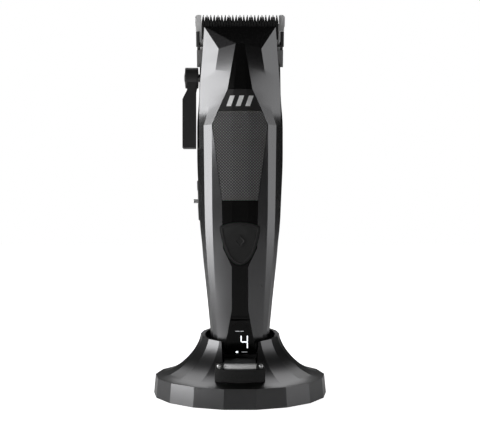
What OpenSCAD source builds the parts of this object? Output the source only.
// Cordless hair clipper standing in its charging stand.
// Origin: centre of the stand's base on the table. +Z up, the display side faces -Y.
// All sizes in millimetres.

/* [Clipper body] */
// Greatest width of the housing
body_w = 43.3; // [36:0.1:52]
// Depth of the housing in front of its parting plane, at the thickest place
body_front = 19; // [16:0.1:23]
// Depth of the housing behind its parting plane, at the thickest place
body_rear = 18; // [15.5:0.1:22]
// Wall of the housing
wall = 2; // [1.6:0.1:2.4]
// Height of the display field at the foot of the clipper
display_h = 23.5; // [20:0.5:28]
// Height of the plain strip between display and shield button
strip_h = 22; // [18:0.5:27]
// Height of the shield button
shield_h = 20.7; // [17:0.1:25]
// Width of the shield button
shield_w = 19.2; // [16:0.1:21]
// Height of the strip between shield button and grip plate
collar_h = 10.6; // [8:0.1:13]
// Height of the grip plate below its widest line
grip_h = 37.3; // [31:0.1:45]
// Height of the grip plate above its widest line
grip_top_h = 6.7; // [5:0.1:8]
// Height of the badge panel
badge_h = 10.5; // [8:0.1:13]
// Height of the spine between badge panel and head
spine_h = 22.6; // [19:0.1:27]
// Height of the sloped head face
head_h = 9.7; // [8:0.1:11.5]

/* [Blades] */
// Width of the fixed blade over its end lands
blade_w = 45; // [42:0.1:48]
// Height of the fixed blade
blade_h = 27; // [26:0.1:29]
// Thickness of the fixed blade
blade_t = 2; // [1.6:0.1:2.4]
// Lean of the blades towards the front, in degrees
blade_lean = 15; // [12:1:16]
// Teeth of the fixed blade between its end lands
fixed_teeth = 21; // [17:2:25]
// Teeth of the cutter
cutter_teeth = 28; // [22:2:32]
// Thickness of the cutter
cutter_t = 1.6; // [1.3:0.1:1.9]
// Height from the cutter's tips to the fixed blade's tips
zero_gap = 0.8; // [0.5:0.1:1.2]
// Travel of the taper slide
taper_travel = 2.4; // [1.8:0.1:2.8]
// Throw of the cutter to each side
cutter_throw = 1.2; // [0.8:0.1:1.4]

/* [Taper lever] */
// Radius of the lever's hub
hub_r = 5.2; // [4.5:0.1:6]
// Length of the lever's hub along its axis
hub_len = 6.4; // [5.5:0.1:7.5]
// Distance from the hub's axis to the lever's tip
lever_len = 35.5; // [30:0.5:42]
// Width of the lever, across the clipper's side
lever_w = 9; // [7:0.5:10]
// Thickness of the lever arm
lever_t = 6.5; // [5.4:0.1:7.5]
// Radius of the lever's shaft
lever_shaft_r = 2; // [1.7:0.1:2.4]

/* [Switch and button] */
// Travel of the side switch
switch_travel = 4; // [3:0.1:4.8]
// Travel of the shield button
button_travel = 0.6; // [0.4:0.1:0.8]
// Length of the side switch's bezel
bezel_h = 20; // [17:0.5:24]

/* [Drive and power] */
// Radius of the motor
motor_r = 12; // [10:0.1:14]
// Length of the motor's can
motor_len = 30; // [25:0.5:36]
// Radius of the motor's shaft
motor_shaft_r = 1.5; // [1.2:0.1:1.8]
// Radius of the battery cell
cell_r = 9.2; // [7.7:0.1:10]
// Length of the battery cell
cell_len = 65; // [54:1:70]

/* [Stand] */
// Width of the stand over its corners
stand_d = 87; // [80:1:105]
// Number of flat sides of the stand
stand_sides = 18; // [14:2:22]
// Height of the stand's upright rim
rim_h = 9.8; // [8.5:0.1:12]
// Inward lean of the upright rim, at its top
rim_lean = 0.9; // [0.5:0.1:1.2]
// Height of the collar at its side
collar_top = 30.2; // [29:0.1:34]
// Slope of the collar's edge, in degrees, higher at the back
collar_slope = 5.5; // [4:0.5:7]
// Wall of the collar
collar_wall = 1.8; // [1.5:0.1:2.1]
// Wall of the stand's skirt
skirt_wall = 2.2; // [1.8:0.1:2.6]
// Gap between clipper and collar, at the clipper's corners
collar_gap = 1.2; // [1:0.1:1.6]
// Half width of the front notch at the collar's edge
notch_top = 9.6; // [9:0.1:10.5]
// Half width of the front notch at its floor
notch_floor = 8.4; // [8.2:0.1:9]
// Reach of the front block from the stand's axis
block_reach = 36; // [34:0.5:38]
// Half width of the front block
block_half = 11.8; // [11.4:0.1:13]

/* [Fits] */
// Clearance between pieces that are set in each other
seat = 0.15; // [0.1:0.05:0.2]
// Clearance between pieces that move past each other
slip = 0.3; // [0.25:0.05:0.4]
// Radial clearance of a running shaft
run = 0.05; // [0.03:0.01:0.08]

/* [Hidden] */
$fn = 48;

// Heights of the clipper's features, from its foot upwards
z_foot = 20;
z_display = z_foot + display_h;
z_strip = z_display + strip_h;
z_shield = z_strip + shield_h;
z_grip = z_shield + collar_h;
z_wide = z_grip + grip_h;
z_grip_top = z_wide + grip_top_h;
z_badge = z_grip_top + badge_h;
z_apex = z_badge + spine_h;
z_head = z_apex + head_h;
z_side_peak = z_apex - 4.4;
z_mid_peak = z_apex - 2.2;
z_hub = z_badge + 7.9;
hw = body_w / 2;

// Front corner lines of the housing as [height, share of the half width]
line_b = [[z_foot, 0.38], [z_display, 0.185], [z_grip_top, 0.185], [z_apex, 0.05]];
line_c = [[z_foot, 0.44], [z_display, 0.36], [z_grip, 0.41], [z_wide, 0.53], [z_grip_top, 0.4],
          [z_badge, 0.2], [z_apex, 0.08]];
line_a = [[z_foot, 0.49], [z_display, 0.545], [z_grip, 0.63], [z_wide, 0.628], [z_grip_top, 0.5],
          [z_badge, 0.28], [z_apex, 0.1]];
line_d = [[z_foot, 0.57], [z_display, 0.66], [z_shield, 0.795], [z_wide, 0.827], [z_grip_top, 0.73],
          [z_badge, 0.635], [z_mid_peak, 0.485]];
line_e = [[z_foot, 0.62], [z_display, 0.73], [z_shield, 0.9], [z_wide, 0.94], [z_badge, 0.925],
          [z_side_peak, 0.865]];
line_s = [[z_foot, 0.64], [z_display, 0.74], [z_strip, 0.83], [z_shield, 0.936], [z_grip, 0.96],
          [z_wide - 13, 1], [z_wide, 1], [z_badge, 0.95], [z_side_peak - 5, 0.94], [z_side_peak, 0.885]];
// Depth of the housing before and behind the parting plane, as shares
deep_front = [[z_foot, 0.715], [z_display, 0.83], [z_strip, 0.905], [z_shield, 0.963], [z_wide - 13, 1],
              [z_wide, 1], [z_badge, 0.947], [z_apex, 0.815]];
deep_rear = [[z_foot, 0.7], [z_display, 0.83], [z_shield, 0.94], [z_wide - 13, 1], [z_grip_top, 0.97],
             [z_badge, 0.8], [z_hub + 4, 0.42], [z_apex, 0.38]];
// How far forward each corner line lies, as a share of the front depth
lie_a = [[z_grip, 0.87], [z_wide, 0.9], [z_badge, 0.95], [z_apex, 1]];
lie_d = [[z_wide, 0.66], [z_badge, 0.68], [z_mid_peak, 0.84]];
lie_e = [[z_wide, 0.38], [z_side_peak, 0.66]];

function front_at(z) = body_front * lookup(z, deep_front);
function rear_at(z) = body_rear * lookup(z, deep_rear);

// One corner of the section: side +1 or -1, height, share across, share forward
function corner(side, z, line, lie, t) =
    let (w = hw * lookup(z, line_s), f = front_at(z))
    [side * hw * lookup(z, line) * (w - t) / w, -f * lie * (f - t) / f, z];

function rear_corner(side, z, across, back, t) =
    let (w = hw * lookup(z, line_s), r = rear_at(z))
    [side * w * across * (w - t) / w, r * back * (r - t) / r, z];

function front_half(side, z, za, zd, ze, t) = [
    corner(side, za, line_b, 1, t),
    corner(side, za, line_c, lookup(za, [[z_wide, 0.95], [z_apex, 1]]), t),
    corner(side, za, line_a, lookup(za, lie_a), t),
    corner(side, zd, line_d, lookup(zd, lie_d), t),
    corner(side, ze, line_e, lookup(ze, lie_e), t),
    corner(side, z, line_s, 0, t)
];

function rear_half(side, z, t) = [
    rear_corner(side, z, 0.975, 0.38, t),
    rear_corner(side, z, 0.84, 0.73, t),
    rear_corner(side, z, 0.45, 1, t)
];

function reverse(list) = [for (i = [len(list) - 1 : -1 : 0]) list[i]];

// A closed ring of corners, counter-clockwise seen from above
function ring(z, za, zd, ze, t) = concat(
    front_half(1, z, za, zd, ze, t), rear_half(1, z, t),
    reverse(rear_half(-1, z, t)), reverse(front_half(-1, z, za, zd, ze, t))
);

// The head's upper edge, where the side facets run together in one corner
lip_half = 0.822 * hw;
lip_y = -6.5;
function lip_side(side, t) = [for (p = [
    [0.05, 0], [0.5, 0], [0.965, 0], [1, 0.3], [1, 2.5], [1, 5.5], [0.98, 6.5], [0.84, 7.5], [0.5, 8]
]) [side * (lip_half - t) * p[0], lip_y + 4 + (p[1] - 4) * (4 - t) / 4, z_head]];
function lip_ring(t) = concat(lip_side(1, t), reverse(lip_side(-1, t)));

// A solid through rings of equal length, closed by flat or fanned ends
module loft(rings) {
    n = len(rings[0]);
    m = len(rings);
    points = concat([for (r = rings) each r], [mean(rings[0]), mean(rings[m - 1])]);
    sides = [for (k = [0 : m - 2], i = [0 : n - 1])
        let (a = k * n + i, b = k * n + (i + 1) % n) each [[a, a + n, b], [b, a + n, b + n]]];
    floor_fan = [for (i = [0 : n - 1]) [m * n, i, (i + 1) % n]];
    roof_fan = [for (i = [0 : n - 1]) [m * n + 1, (m - 1) * n + (i + 1) % n, (m - 1) * n + i]];
    polyhedron(points, concat(sides, floor_fan, roof_fan));
}

function mean(list) = [for (a = [0 : 2]) [for (p = list) p[a]] * [for (p = list) 1] / len(list)];
function lift(list, dz) = [for (p = list) p + [0, 0, dz]];

// The clipper's outer shape, drawn inwards by t
stations = [z_display, z_strip, z_shield, z_grip, z_wide - 13, z_wide, z_grip_top, z_badge];
module clipper_solid(t = 0, over = 0) {
    loft(concat(
        [lift(ring(z_foot, z_foot, z_foot, z_foot, t), -over)],
        [for (z = stations) ring(z, z, z, z, t)],
        [ring(z_side_peak - 3, z_apex, z_mid_peak, z_side_peak, t)],
        [lift(lip_ring(t), over)]
    ));
}

// A band of the housing's skin between two depths
module skin(t0, t1) {
    difference() {
        clipper_solid(t0);
        clipper_solid(t1, 1);
    }
}

// An outline in X and Z pushed through the front of the clipper
module front_prism(points, y0 = -30, y1 = -4) {
    translate([0, y1, 0]) rotate([90, 0, 0]) linear_extrude(y1 - y0) polygon(points);
}

function both(points) = concat(points, reverse([for (p = points) [-p[0], p[1]]]));

// Outlines of the inlays, as [half width, height], grown sideways by g
function across(line, z) = hw * lookup(z, line);
function spine_outline(g) = both([[across(line_a, z_badge) + g, z_badge + 0.1 - g],
    [across(line_a, z_apex) + g, z_apex + g - 0.1]]);
function badge_outline(g) = both([[across(line_a, z_grip_top) + g, z_grip_top + 0.1 - g],
    [across(line_a, z_badge) + g, z_badge - 0.1 + g]]);
grip_foot_half = across(line_c, z_grip);
function grip_outline(g) = both([[grip_foot_half + g, z_grip + 0.1 - g], [across(line_a, z_wide) + g, z_wide],
    [across(line_a, z_grip_top) + g, z_grip_top - 0.1 + g]]);
panel_half = across(line_b, z_foot);
function lower_outline(g) = both([[panel_half + g, z_foot + 1.5 - g],
    [across(line_b, z_display) + g, z_display], [across(line_b, z_strip) + g, z_strip - 1],
    [grip_foot_half + g, z_strip + 8],
    [grip_foot_half + g, z_grip - 0.1 + g]]);
lens_half = 7.9;
lens_top = 17.2;
function lens_outline(g) = both([[lens_half + g, z_foot + 1.7 - g], [lens_half - 0.9 + g, z_foot + 8.5],
    [lens_half - 3.4 + g, z_foot + 13.6 + g], [1.6, z_foot + lens_top + g]]);
// Shield: a bowed top, rounded shoulders and sides that curve to a point
shoulder = 3.2;
function shield_outline(g) = both(concat(
    [for (a = [0 : 15 : 75]) [(shield_w / 2 + g) * sin(a) / sin(75),
        z_strip - g * 1.5 + (shield_h - shoulder + g * 1.5) * (1 - cos(a)) / (1 - cos(75))]],
    [for (a = [0 : 22.5 : 45]) [shield_w / 2 + g - 2 * (1 - cos(a)), z_shield - shoulder + 2 * sin(a)]],
    [[shield_w * 0.2, z_shield - 0.3 + g], [0.01, z_shield + g]]
));

module lathe_x(x0, x1, r, y = 0, z = 0) {
    translate([x0, y, z]) rotate([0, 90, 0]) cylinder(h = x1 - x0, r = r);
}

module lathe_y(y0, y1, r, x = 0, z = 0) {
    translate([x, y0, z]) rotate([-90, 0, 0]) cylinder(h = y1 - y0, r = r);
}

module block(x0, x1, y0, y1, z0, z1) {
    translate([x0, y0, z0]) cube([x1 - x0, y1 - y0, z1 - z0]);
}

// ---- Blade frame: y = 0 is the plane between the blades, z = 0 the tips ----
tip_y = -4.8;
tip_z = z_head + 6.4;
module at_blades() {
    translate([0, tip_y, tip_z]) rotate([blade_lean, 0, 0]) children();
}

land_w = 3;
land_h = 7.8;
tooth_h = 4.4;
fixed_half = blade_w / 2 - land_w;
fixed_pitch = 2 * fixed_half / (fixed_teeth + 0.2);
shank_half = blade_w / 2 - 2.4;
cutter_half = fixed_half - 0.3;
cutter_pitch = 2 * cutter_half / cutter_teeth;
cutter_z = -zero_gap;
cutter_foot = -12;
carrier_z0 = -15.6;
carrier_gap = 1.6;
frame_z1 = carrier_z0 - carrier_gap;
frame_half = blade_w / 2 - 0.75;
plane_gap = 0.05;

function comb(pitch, count, root, tip, z0, z1) = [for (i = [0 : count - 1])
    let (x = (i - (count - 1) / 2) * pitch)
    each [[x - root, z0], [x - tip, z1], [x + tip, z1], [x + root, z0]]];

module blade_plate(points, y0, y1) {
    translate([0, y1, 0]) rotate([90, 0, 0]) linear_extrude(y1 - y0) polygon(points);
}

module fixed_blade() {
    color("silver") at_blades() difference() {
        union() {
            blade_plate(concat([[-fixed_half, -land_h], [-fixed_half, -tooth_h]],
                comb(fixed_pitch, fixed_teeth, fixed_pitch * 0.36, 0.22, -tooth_h, 0),
                [[fixed_half, -tooth_h], [fixed_half, -land_h], [shank_half, -land_h],
                 [shank_half, -blade_h], [-shank_half, -blade_h], [-shank_half, -land_h]]), 0, blade_t);
            for (s = [-1, 1]) blade_plate([[s * fixed_half, -land_h], [s * fixed_half, -0.2],
                [s * (fixed_half + 0.4), 0], [s * (blade_w / 2 - 0.9), 0], [s * blade_w / 2, -0.9],
                [s * blade_w / 2, -5.6], [s * (blade_w / 2 - 0.3), -6], [s * (blade_w / 2 - 0.3), -land_h]],
                0, blade_t);
        }
        for (s = [-1, 1]) lathe_y(-1, blade_t + 1, screw_r + 0.1, s * screw_x, screw_z);
    }
}

screw_r = 1.5;
screw_x = 13;
screw_z = carrier_z0 - 6.4;
slot_z = 4;

module blade_carrier() {
    color("#1c1c1e") at_blades() {
        for (s = [-1, 1]) {
            block(min(s * shank_half, s * (blade_w / 2 - 0.45)) + (s > 0 ? seat : 0),
                max(s * shank_half, s * (blade_w / 2 - 0.45)) - (s > 0 ? 0 : seat),
                0, blade_t, carrier_z0, -land_h - seat);
            block(min(s * (cutter_half + 1.5), s * (blade_w / 2 - 0.45)),
                max(s * (cutter_half + 1.5), s * (blade_w / 2 - 0.45)),
                -cutter_t, 0, carrier_z0, -land_h - seat);
        }
        block(-cutter_half - 1.5, cutter_half + 1.5, -cutter_t, 0, carrier_z0, carrier_z0 + 0.9);
    }
}

module blade_screws() {
    color("#3a3a3d") at_blades() for (s = [-1, 1]) {
        lathe_y(-3.2, blade_t, screw_r, s * screw_x, screw_z);
        difference() {
            lathe_y(blade_t, blade_t + 1.3, 2.9, s * screw_x, screw_z);
            for (w = [[0.35, 2], [2, 0.35]])
                block(s * screw_x - w[0], s * screw_x + w[0], blade_t + 0.8, blade_t + 2,
                    screw_z - w[1], screw_z + w[1]);
        }
    }
}

module cutter_blade() {
    color("#141416") at_blades() difference() {
        union() {
            blade_plate(concat([[-cutter_half, cutter_foot], [-cutter_half, cutter_z - 2.2]],
                comb(cutter_pitch, cutter_teeth, cutter_pitch * 0.47, 0.16, cutter_z - 2.2, cutter_z),
                [[cutter_half, cutter_z - 2.2], [cutter_half, cutter_foot]]), -cutter_t, -plane_gap);
        }
        for (i = [0 : cutter_teeth - 2]) {
            x = (i - (cutter_teeth - 2) / 2) * cutter_pitch;
            block(x - 0.28, x + 0.28, -cutter_t - 1, -cutter_t + 0.6, cutter_z - 5.4, cutter_z);
        }
    }
}

// The yoke reaches from the cutter down to the motor's eccentric
eccentric_offset = 1.2;
pin_r = 1;
yoke_half = 2.5;
fork_z0 = z_badge + 4.3;
fork_z1 = fork_z0 + 3;
fork_half = eccentric_offset + pin_r + cutter_throw + 0.4;
module drive_yoke() {
    color("#2b2b2e") {
        at_blades() {
            block(-6.5, 6.5, -cutter_t - 1.2, -cutter_t, cutter_foot + 0.2, cutter_foot + 3.6);
            difference() {
                block(-yoke_half, yoke_half, -cutter_t - 3, -cutter_t - 0.9,
                    fork_z0 - tip_z, cutter_foot + 3.6);
                translate([0, -tip_y, -tip_z]) block(-20, 20, -20, 20, -50, fork_z0 + 8);
            }
        }
        difference() {
            block(-fork_half - 2, fork_half + 2, -5.6, 5, fork_z0, fork_z1);
            block(-fork_half, fork_half, -eccentric_offset - pin_r - 1, 6, fork_z0 - 1, fork_z1 + 1);
        }
        yoke_post();
    }
}

// The post joins the leaning bar to the level fork
module yoke_post() {
    block(-yoke_half, yoke_half, -5.6, -3.4, fork_z0, fork_z0 + 14);
}

motor_top = z_badge - 2;
motor_foot = motor_top - motor_len;
eccentric_z0 = motor_top + 1.2;
eccentric_z1 = eccentric_z0 + 3;

module motor_can() {
    color("#8d8f94") difference() {
        union() {
            translate([0, 0, motor_foot]) cylinder(h = motor_len, r = motor_r);
            translate([0, 0, motor_top]) cylinder(h = 0.8, r = 4);
        }
        translate([0, 0, motor_foot - 1]) cylinder(h = motor_len - 1, r = motor_r - 1);
        translate([0, 0, motor_foot]) cylinder(h = motor_len + 3, r = motor_shaft_r + run);
    }
}

module motor_end_bell() {
    color("#26262a") difference() {
        union() {
            translate([0, 0, motor_foot - 2.4]) cylinder(h = 2.4, r = motor_r);
            for (s = [-1, 1]) block(s * 6 - 1, s * 6 + 1, -0.4, 0.4, motor_foot - 4, motor_foot - 2.4);
        }
        translate([0, 0, motor_foot - 1.6]) cylinder(h = 4, r = motor_shaft_r + run);
    }
}

module motor_rotor() {
    color("#b87333") {
        translate([0, 0, motor_foot - 1.5]) cylinder(h = eccentric_z1 - motor_foot + 0.7, r = motor_shaft_r);
        translate([0, 0, motor_foot + 4]) cylinder(h = motor_len - 9, r = motor_r - 2.2);
    }
}

module eccentric() {
    color("#c9a227") {
        difference() {
            translate([0, 0, eccentric_z0]) cylinder(h = 3, r = 4);
            translate([0, 0, eccentric_z0 - 1]) cylinder(h = 3.2, r = motor_shaft_r + run);
        }
        translate([0, eccentric_offset, eccentric_z1]) cylinder(h = fork_z1 - eccentric_z1 - 0.2, r = pin_r);
    }
}

// ---- Housing ----
bulk = 60;
module behind() {
    block(-bulk, bulk, 0, bulk, -1, z_head + 20);
}

// Everything behind the blades' front, from the head frame upwards
module blade_space(front = -cutter_t - 0.3) {
    at_blades() block(-bulk, bulk, front, bulk, -blade_h - 0.4, 20);
}

boss_r = 2.7;
boss_x = cell_r + boss_r + 0.7;
boss_zs = [z_display + 15, motor_foot - 8];
screw_hole = 1.2;

module housing_bosses(t0) {
    intersection() {
        for (s = [-1, 1], z = boss_zs) lathe_y(-bulk / 3, bulk / 3, boss_r, s * boss_x, z);
        clipper_solid(t0);
    }
}

switch_z = z_grip + 0.2;
bezel_z0 = switch_z - 9.7;
bezel_half = 3.2;
stem_half = 1.2;
lever_y = 0;

module front_housing() {
    color("#6f7075") difference() {
        union() {
            skin(0, wall);
            housing_bosses(1);
        }
        behind();
        blade_space();
        block(-bulk, bulk, -bulk, bulk, z_foot - 1, z_foot + 1.4);
        intersection() {
            skin(-2, inlay_t + seat);
            union() {
                front_prism(spine_outline(seat));
                front_prism(badge_outline(seat));
                front_prism(grip_outline(seat));
                front_prism(lower_outline(seat));
            }
        }
        front_prism(lens_outline(-0.7), -30, -8);
        front_prism(shield_outline(slip + 0.1), -30, -12);
        lathe_x(-bulk, -10, lever_shaft_r + 1.4, lever_y, z_hub);
        block(-bulk, -10, -bezel_half - seat, bezel_half, bezel_z0 - seat, bezel_z0 + bezel_h + seat);
        for (s = [-1, 1], z = boss_zs) lathe_y(-8, 1, screw_hole, s * boss_x, z);
    }
}

module rear_housing() {
    color("#1d1d20") difference() {
        union() {
            skin(0, wall);
            housing_bosses(1);
        }
        block(-bulk, bulk, -bulk, 0, -1, z_head + 20);
        block(-bulk, bulk, -1, bulk, z_hub + 4.6, z_head + 20);
        block(-bulk, bulk, -1, bulk, z_foot - 1, z_foot + 1.4);
        blade_space();
        lathe_x(-bulk, -10, lever_shaft_r + 1.4, lever_y, z_hub);
        block(-bulk, -10, -1, bezel_half + seat, bezel_z0 - seat, bezel_z0 + bezel_h + seat);
        for (s = [-1, 1], z = boss_zs) {
            lathe_y(-1, bulk, screw_hole + 0.3, s * boss_x, z);
            lathe_y(6, bulk, 2.3, s * boss_x, z);
        }
    }
}

module housing_screws() {
    color("#5b5c60") for (s = [-1, 1], z = boss_zs) {
        lathe_y(-7, 6, screw_hole, s * boss_x, z);
        lathe_y(6, 7.6, 2.1, s * boss_x, z);
    }
}

module end_cap() {
    color("#151517") difference() {
        intersection() {
            clipper_solid(0);
            block(-bulk, bulk, -bulk, bulk, z_foot - 1, z_foot + 1.4 - 0.02);
        }
        for (s = [-1, 1]) translate([s * pin_x, 0, z_foot - 1]) cylinder(h = 4, r = contact_r);
    }
}

pin_x = 4.5;
contact_r = 1.6;
module charge_contacts() {
    color("#d4af37") for (s = [-1, 1]) translate([s * pin_x, 0, z_foot + 0.2]) cylinder(h = 2, r = contact_r);
}

// ---- Inlays of the front ----
inlay_t = 1.2;
module inlay(points) {
    intersection() {
        skin(0, inlay_t);
        front_prism(points);
    }
}

module head_spine() {
    color("#131315") inlay(spine_outline(0));
}

module badge_panel() {
    color("#343437") inlay(badge_outline(0));
}

module grip_plate() {
    color("#2c2c2f") inlay(grip_outline(0));
}

module lower_inlay() {
    color("#0e0e10") difference() {
        inlay(lower_outline(0));
        front_prism(lens_outline(seat));
        front_prism(shield_outline(slip));
        for (i = [0 : 2]) translate([0, 0, z_display - 1.9 * i - 1]) groove();
    }
}

module groove() {
    block(-5, 5, -bulk, 0.55 - front_at(z_display), -0.45, 0.45);
}

module display_lens() {
    color("#050507") intersection() {
        skin(0, inlay_t);
        front_prism(lens_outline(0));
    }
}

module display_module() {
    color("#101014") {
        translate([0, 0.4, 0]) block(-5.6, 5.6, -11.4, -9.8, z_foot + 2.6, z_foot + 12.6);
        block(-5.6, 5.6, -9.4, -8.4, z_foot + 2.6, z_foot + 20);
    }
}

board_y = -9.2;
// The board stands between the screw bosses
board_half = boss_x - boss_r - 0.9;
module main_board() {
    color("#1d5c33") block(-board_half, board_half, board_y, board_y + 1.2, z_foot + 20.6, z_grip + 8);
}

module button_switch() {
    color("#9a9ca0") {
        block(-3, 3, board_y - 2, board_y, z_button - 3, z_button + 3);
        lathe_y(board_y - 2.6, board_y - 2, 1.6, 0, z_button);
    }
}

z_button = z_strip + shield_h * 0.55;
button_face = front_at(z_button) + 0.3;
module shield_button() {
    color("#2a2a2d") {
        intersection() {
            front_prism(shield_outline(0), -button_face - 2, -button_face + 3.2);
            clipper_solid(-0.4);
        }
        lathe_y(-button_face + 3.1, board_y - 2.6 - button_travel - 0.15, 2, 0, z_button);
    }
}

module switch_bezel() {
    color("#161618") difference() {
        intersection() {
            skin(-0.6, wall);
            block(-bulk, -10, -bezel_half, bezel_half, bezel_z0, bezel_z0 + bezel_h);
        }
        block(-bulk, -10, -stem_half - slip, stem_half + slip,
            switch_z - 1 - slip, switch_z + 1 + switch_travel + slip);
    }
}

switch_wall = across(line_s, z_grip);
module side_switch() {
    color("#c8c9cc") {
        block(-switch_wall - 2.7, -switch_wall + wall + 0.7, -stem_half, stem_half,
            switch_z - 1, switch_z + 1);
        block(-switch_wall + wall + 0.6, -switch_wall + wall + 1.8, -2.4, 2.4,
            switch_z - 3.4, switch_z + 3.4);
    }
}

module switch_block() {
    color("#3b3b40") block(-switch_wall + wall + 2.1, -switch_wall + wall + 5.6, -3.4, 3.4,
        switch_z - 5, switch_z + 5 + switch_travel);
}

frame_plate_y = -7.6;
plate_half = boss_x - boss_r - 0.2;
cell_y = 3;
cell_top = motor_foot - 5;
module inner_frame() {
    color("#39393d") difference() {
        union() {
            block(-plate_half, plate_half, frame_plate_y, frame_plate_y + 1,
                cell_top - cell_len, motor_foot - 4.4);
            translate([0, 0, motor_foot]) cylinder(h = 5, r = motor_r + 1.6);
            for (s = [-1, 1]) block(s * 11.6 - 0.8, s * 11.6 + 0.8, frame_plate_y, 4,
                motor_foot - 4.4, motor_foot + 3);
            block(-12.4, 12.4, frame_plate_y, frame_plate_y + 1, motor_foot - 5, motor_foot - 4);
        }
        translate([0, 0, motor_foot - 4]) cylinder(h = motor_len + 10, r = motor_r + seat);
    }
}

module battery_cell() {
    color("#2f5fa8") {
        translate([0, cell_y, cell_top - cell_len]) cylinder(h = cell_len, r = cell_r);
        translate([0, cell_y, cell_top]) cylinder(h = 1, r = 3);
    }
}

// ---- Head ----
// A tongue at each side of the frame reaches up behind the sliding blade
tongue_y = blade_t + slip;
module frame_tongue(s) {
    stem = [shank_half + slip, frame_half];
    tip = [shank_half, frame_half];
    block(min(s * stem), max(s * stem), -cutter_t, tongue_y + 1, frame_z1 - 5, frame_z1);
    block(min(s * tip), max(s * tip), tongue_y, tongue_y + 1, frame_z1 - 5, carrier_z0 + 2);
}

// The frame ends just above the lever's hub
frame_foot = -(tip_z - z_hub - hub_r - 0.8) / cos(blade_lean);
module head_frame() {
    color("#77797e") at_blades() difference() {
        union() {
            block(-frame_half, frame_half, -cutter_t, -plane_gap, frame_foot, frame_z1);
            for (s = [-1, 1]) lathe_y(-3.4, -cutter_t, 3.2, s * screw_x, screw_z);
            for (s = [-1, 1]) frame_tongue(s);
        }
        block(-7, 7, -10, 5, frame_foot - 1, frame_z1 - 3);
        for (s = [-1, 1]) hull() {
            lathe_y(-5, 1, screw_r + slip, s * screw_x, screw_z);
            lathe_y(-5, 1, screw_r + slip, s * screw_x, screw_z + slot_z);
        }
    }
}

guide_x = 6.5 + cutter_throw + slip + 0.8;
module cutter_guide() {
    color("#4a4b4f") at_blades() {
        for (s = [-1, 1]) {
            block(s * guide_x - 0.8, s * guide_x + 0.8, -cutter_t - 1.6, -cutter_t - slip,
                frame_z1 - 3, cutter_foot + 5);
            block(s * guide_x - 0.8, s * guide_x + 0.8, -cutter_t - slip - 0.01, -cutter_t,
                frame_z1 - 3, frame_z1 - 0.4);
        }
    }
}

// ---- Taper lever, on the -X side ----
side_x = -across(line_s, z_hub);
hub_x1 = side_x - slip - 0.4;
hub_x0 = hub_x1 - hub_len;
arm_x1 = hub_x1 - 1.2;
arm_x0 = arm_x1 - lever_t;
module taper_lever() {
    color("#232325") difference() {
        union() {
            lathe_x(hub_x0, hub_x1, hub_r, lever_y, z_hub);
            translate([0, lever_y + lever_w / 2, 0]) rotate([90, 0, 0]) linear_extrude(lever_w) polygon([
                [hub_x0 + 1, z_hub - hub_r * 0.5], [hub_x0 + 1, z_hub - hub_r - 1.4],
                [arm_x0, z_hub - hub_r - 6], [arm_x0, z_hub - lever_len],
                [arm_x1, z_hub - lever_len], [arm_x1, z_hub - hub_r - 1.6],
                [hub_x1 - 0.3, z_hub - hub_r * 0.5]
            ]);
        }
        lathe_x(hub_x0 - 1, hub_x1 + 1, lever_shaft_r, lever_y, z_hub);
        lathe_x(hub_x0 - 1, hub_x0 + 1.2, 3.6, lever_y, z_hub);
    }
}

module lever_cap() {
    color("#55565a") lathe_x(hub_x0 - 0.7, hub_x0 + 1.2, 3.5, lever_y, z_hub);
}

cam_x1 = side_x + wall + 5;
module lever_shaft() {
    color("#a9abb0") lathe_x(hub_x0 + 1.2, cam_x1 - 1, lever_shaft_r, lever_y, z_hub);
}

module lever_bush() {
    color("#c2a14a") difference() {
        lathe_x(side_x + 0.5, side_x + wall + 1, lever_shaft_r + 1.4 - 0.02, lever_y, z_hub);
        lathe_x(side_x - 5, side_x + wall + 5, lever_shaft_r + run, lever_y, z_hub);
    }
}

module taper_cam() {
    color("#8f9196") difference() {
        hull() {
            lathe_x(cam_x1 - 2.6, cam_x1 - 0.6, 3.2, lever_y, z_hub);
            lathe_x(cam_x1 - 2.6, cam_x1 - 0.6, 1.4, lever_y - 2.6, z_hub + 1.5);
        }
        lathe_x(cam_x1 - 4, cam_x1, lever_shaft_r, lever_y, z_hub);
    }
}

// ---- Stand ----
foot_proud = 0.5;
stand_r = stand_d / 2;
rim_r = stand_r - rim_lean;
corner_r = max([for (p = ring(collar_top, collar_top, collar_top, collar_top, 0)) norm([p[0], p[1]])]);
collar_r = corner_r + collar_gap + collar_wall;
facet = 360 / stand_sides;

function side_ring(r, z) = [for (i = [0 : stand_sides - 1])
    let (a = -90 + facet / 2 + i * facet) [r * cos(a), r * sin(a), z]];

// The skirt's concave sweep from collar (t = 90) to rim (t = 0)
collar_rise = collar_top + 4;
function sweep_r(t, w) = collar_r - w + (rim_r - collar_r - (skirt_wall - w)) * pow(cos(t), 3);
function sweep_z(t, w) = rim_h - w + (collar_top - rim_h) * pow(sin(t), 3);
sweep_steps = [0, 14, 26, 36, 45, 54, 63, 74];

module stand_outer() {
    loft(concat(
        [side_ring(stand_r, foot_proud), side_ring(rim_r, rim_h)],
        [for (t = sweep_steps) if (t > 0)
            side_ring(collar_r + (rim_r - collar_r) * pow(cos(t), 3), sweep_z(t, 0))],
        [side_ring(collar_r, collar_top), side_ring(collar_r, collar_rise)]
    ));
}

module stand_inner() {
    inner = collar_r - collar_wall;
    loft(concat(
        [side_ring(stand_r - skirt_wall, -1), side_ring(rim_r - skirt_wall, rim_h - skirt_wall)],
        [for (t = sweep_steps) if (t > 0)
            side_ring(inner + (rim_r - skirt_wall - inner) * pow(cos(t), 3), sweep_z(t, skirt_wall))],
        [side_ring(inner, collar_top - skirt_wall), side_ring(inner, collar_rise + 1)]
    ));
}

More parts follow.
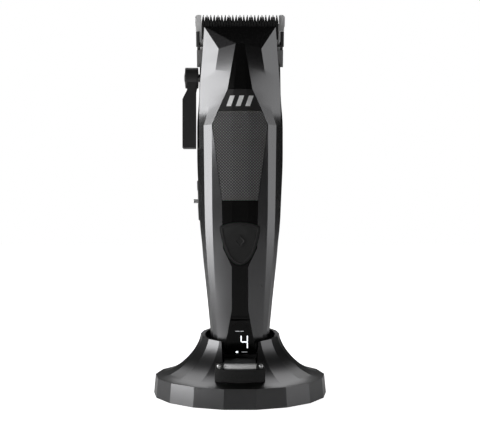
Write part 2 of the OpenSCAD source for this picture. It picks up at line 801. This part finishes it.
notch_z = z_foot - 0.2;
module notch() {
    front_prism(both([[notch_floor - 0.8, notch_z - 2.5], [notch_floor, notch_z - 1.5],
        [notch_top, collar_top + 6]]), -block_reach, -8);
}

screw_ring = 30;
function screw_spots() = [for (a = [45 : 90 : 315]) [screw_ring * cos(a), screw_ring * sin(a)]];
plate_z1 = 3;
inlet_z = 6.1;
inlet_r = 3;

module stand_shell() {
    color("#3c3d40") difference() {
        union() {
            difference() {
                stand_outer();
                stand_inner();
            }
            intersection() {
                stand_outer();
                for (p = screw_spots()) translate([p[0], p[1], plate_z1 + 0.1]) cylinder(h = 12, r = 3);
            }
        }
        translate([0, 0, collar_top]) rotate([collar_slope, 0, 0]) block(-bulk, bulk, -bulk, bulk, 0, 30);
        notch();
        for (p = screw_spots()) translate([p[0], p[1], -1]) cylinder(h = 9, r = 1.2);
        lathe_y(20, 60, inlet_r + seat, 0, inlet_z);
    }
}

module stand_base_plate() {
    color("#1a1a1c") difference() {
        translate([0, 0, foot_proud]) rotate(90 - facet / 2) linear_extrude(plate_z1 - foot_proud)
            polygon([for (p = side_ring(rim_r - skirt_wall - seat, 0)) [p[0], p[1]]]);
        translate([0, 0, -1]) ring_solid(foot_r0 - seat, foot_r1 + seat, 1 + foot_proud + 0.7);
        for (p = screw_spots()) {
            translate([p[0], p[1], -1]) cylinder(h = 9, r = 1.5);
            translate([p[0], p[1], -1]) cylinder(h = 2.9, r = 2.7);
        }
    }
}

foot_r0 = 34;
foot_r1 = 38.5;
module ring_solid(r0, r1, h) {
    difference() {
        cylinder(h = h, r = r1, $fn = 96);
        translate([0, 0, -1]) cylinder(h = h + 2, r = r0, $fn = 96);
    }
}

module stand_foot_ring() {
    color("#2a2a2a") ring_solid(foot_r0, foot_r1, foot_proud + 0.7);
}

module stand_screws() {
    color("#6c6d70") for (p = screw_spots()) {
        translate([p[0], p[1], 1.9]) cylinder(h = 6, r = 1.2);
        translate([p[0], p[1], 0.7]) cylinder(h = 1.2, r = 2.5);
    }
}

module stand_ballast() {
    color("#55565a") difference() {
        translate([0, 0, plate_z1]) ring_solid(17, 37.5, 4.2);
        for (p = screw_spots()) translate([p[0], p[1], 0]) cylinder(h = 12, r = 3.4);
        block(-6, 6, 15, 60, 0, 20);
    }
}

liner_z0 = z_foot - 2.6;
liner_z1 = z_foot + 6.5;
module stand_socket_liner() {
    inner = (collar_r - collar_wall) * cos(facet / 2) - seat;
    color("#121214") difference() {
        union() {
            translate([0, 0, liner_z0]) cylinder(h = liner_z1 - liner_z0, r = inner, $fn = 72);
            translate([0, 0, liner_z0 + 0.2]) linear_extrude(notch_z - liner_z0 - 0.2)
                bowed_plan(notch_floor - 0.9, bar_y - 0.3, bar_y - 12);
        }
        difference() {
            clipper_solid(-0.5, 0.1);
            block(-bulk, bulk, -bulk, bulk, 0, z_foot - 0.1);
        }
        front_prism([[-notch_floor + 0.9, notch_z], [notch_floor - 0.9, notch_z],
            [notch_top, liner_z1 + 1], [-notch_top, liner_z1 + 1]], -bulk, -8);
        for (s = [-1, 1]) translate([s * pin_x, 0, 0]) cylinder(h = 40, r = pin_sleeve_r + run);
    }
}

pin_sleeve_r = 1.1;
carrier_r = 9;
module stand_pin_carrier() {
    color("#2d2d31") difference() {
        translate([0, 0, 12]) cylinder(h = liner_z0 - 12, r = carrier_r);
        for (s = [-1, 1]) translate([s * pin_x, 0, 0]) cylinder(h = 40, r = pin_sleeve_r);
    }
}

module stand_charge_pins() {
    color("#d4af37") for (s = [-1, 1]) {
        translate([s * pin_x, 0, 12]) cylinder(h = z_foot - 12.2, r = pin_sleeve_r);
        translate([s * pin_x, 0, z_foot - 0.2]) cylinder(h = 0.35, r = 0.7);
    }
}

module stand_circuit_board() {
    color("#1d5c33") block(-12, 12, -10, 24, 10.4, 12);
}

inlet_y1 = rim_r * cos(facet / 2) - 0.1;
module stand_power_inlet() {
    color("#0f0f10") difference() {
        lathe_y(28, inlet_y1, inlet_r, 0, inlet_z);
        lathe_y(inlet_y1 - 9, inlet_y1 + 2, 2.5, 0, inlet_z);
    }
}

module stand_inlet_pin() {
    color("#c8c9cc") lathe_y(inlet_y1 - 9, inlet_y1 - 1, 0.9, 0, inlet_z);
}

bar_y = block_reach - 2.2;
bow_r = 30;
block_z1 = z_foot - 2.4;
light_x = 9.75;

// A plan that bows forward between two flat sides
module bowed_plan(half, reach, depth) {
    intersection() {
        translate([0, bow_r - reach]) circle(r = bow_r, $fn = 180);
        translate([-half, -reach]) square([2 * half, depth]);
    }
}

module stand_front_block() {
    color("#19191b") difference() {
        union() {
            translate([0, 0, 8]) linear_extrude(block_z1 - 8) bowed_plan(block_half, block_reach, 13);
            for (s = [-1, 1]) translate([0, 0, block_z1 - 0.2]) linear_extrude(3)
                intersection() {
                    bowed_plan(block_half - 0.4, block_reach - 0.5, 6);
                    translate([s * light_x - 1.8, -bulk]) square([3.6, bulk]);
                }
        }
        stand_outer();
        block(-notch_floor + 0.7, notch_floor - 0.7, -bulk, -10, block_z1, 30);
        for (s = [-1, 1]) lathe_y(-bulk, -bar_y + 2.4, 1.2, s * light_x, block_z1 + 1.4);
    }
}

module stand_chrome_bar() {
    color("#e6e7ea") translate([0, 0, block_z1]) linear_extrude(2.6) difference() {
        bowed_plan(notch_floor - 0.8, bar_y + 0.9, 6);
        bowed_plan(notch_floor + 1, bar_y - 0.2, 8);
    }
}

module stand_status_lights() {
    color("#dfe3e8") for (s = [-1, 1])
        lathe_y(-bar_y + 0.1, -bar_y + 2.3, 1.1, s * light_x, block_z1 + 1.4);
}

stand_shell();
stand_base_plate();
stand_foot_ring();
stand_ballast();
stand_screws();
stand_socket_liner();
stand_pin_carrier();
stand_charge_pins();
stand_circuit_board();
stand_power_inlet();
stand_inlet_pin();
stand_front_block();
stand_chrome_bar();
stand_status_lights();
front_housing();
rear_housing();
end_cap();
charge_contacts();
housing_screws();
head_spine();
badge_panel();
grip_plate();
lower_inlay();
display_lens();
display_module();
main_board();
button_switch();
switch_block();
switch_bezel();
inner_frame();
battery_cell();
motor_can();
motor_end_bell();
head_frame();
lever_bush();
cutter_guide();
shield_button();
side_switch();
motor_rotor();
eccentric();
cutter_blade();
drive_yoke();
fixed_blade();
blade_carrier();
blade_screws();
taper_lever();
lever_cap();
lever_shaft();
taper_cam();
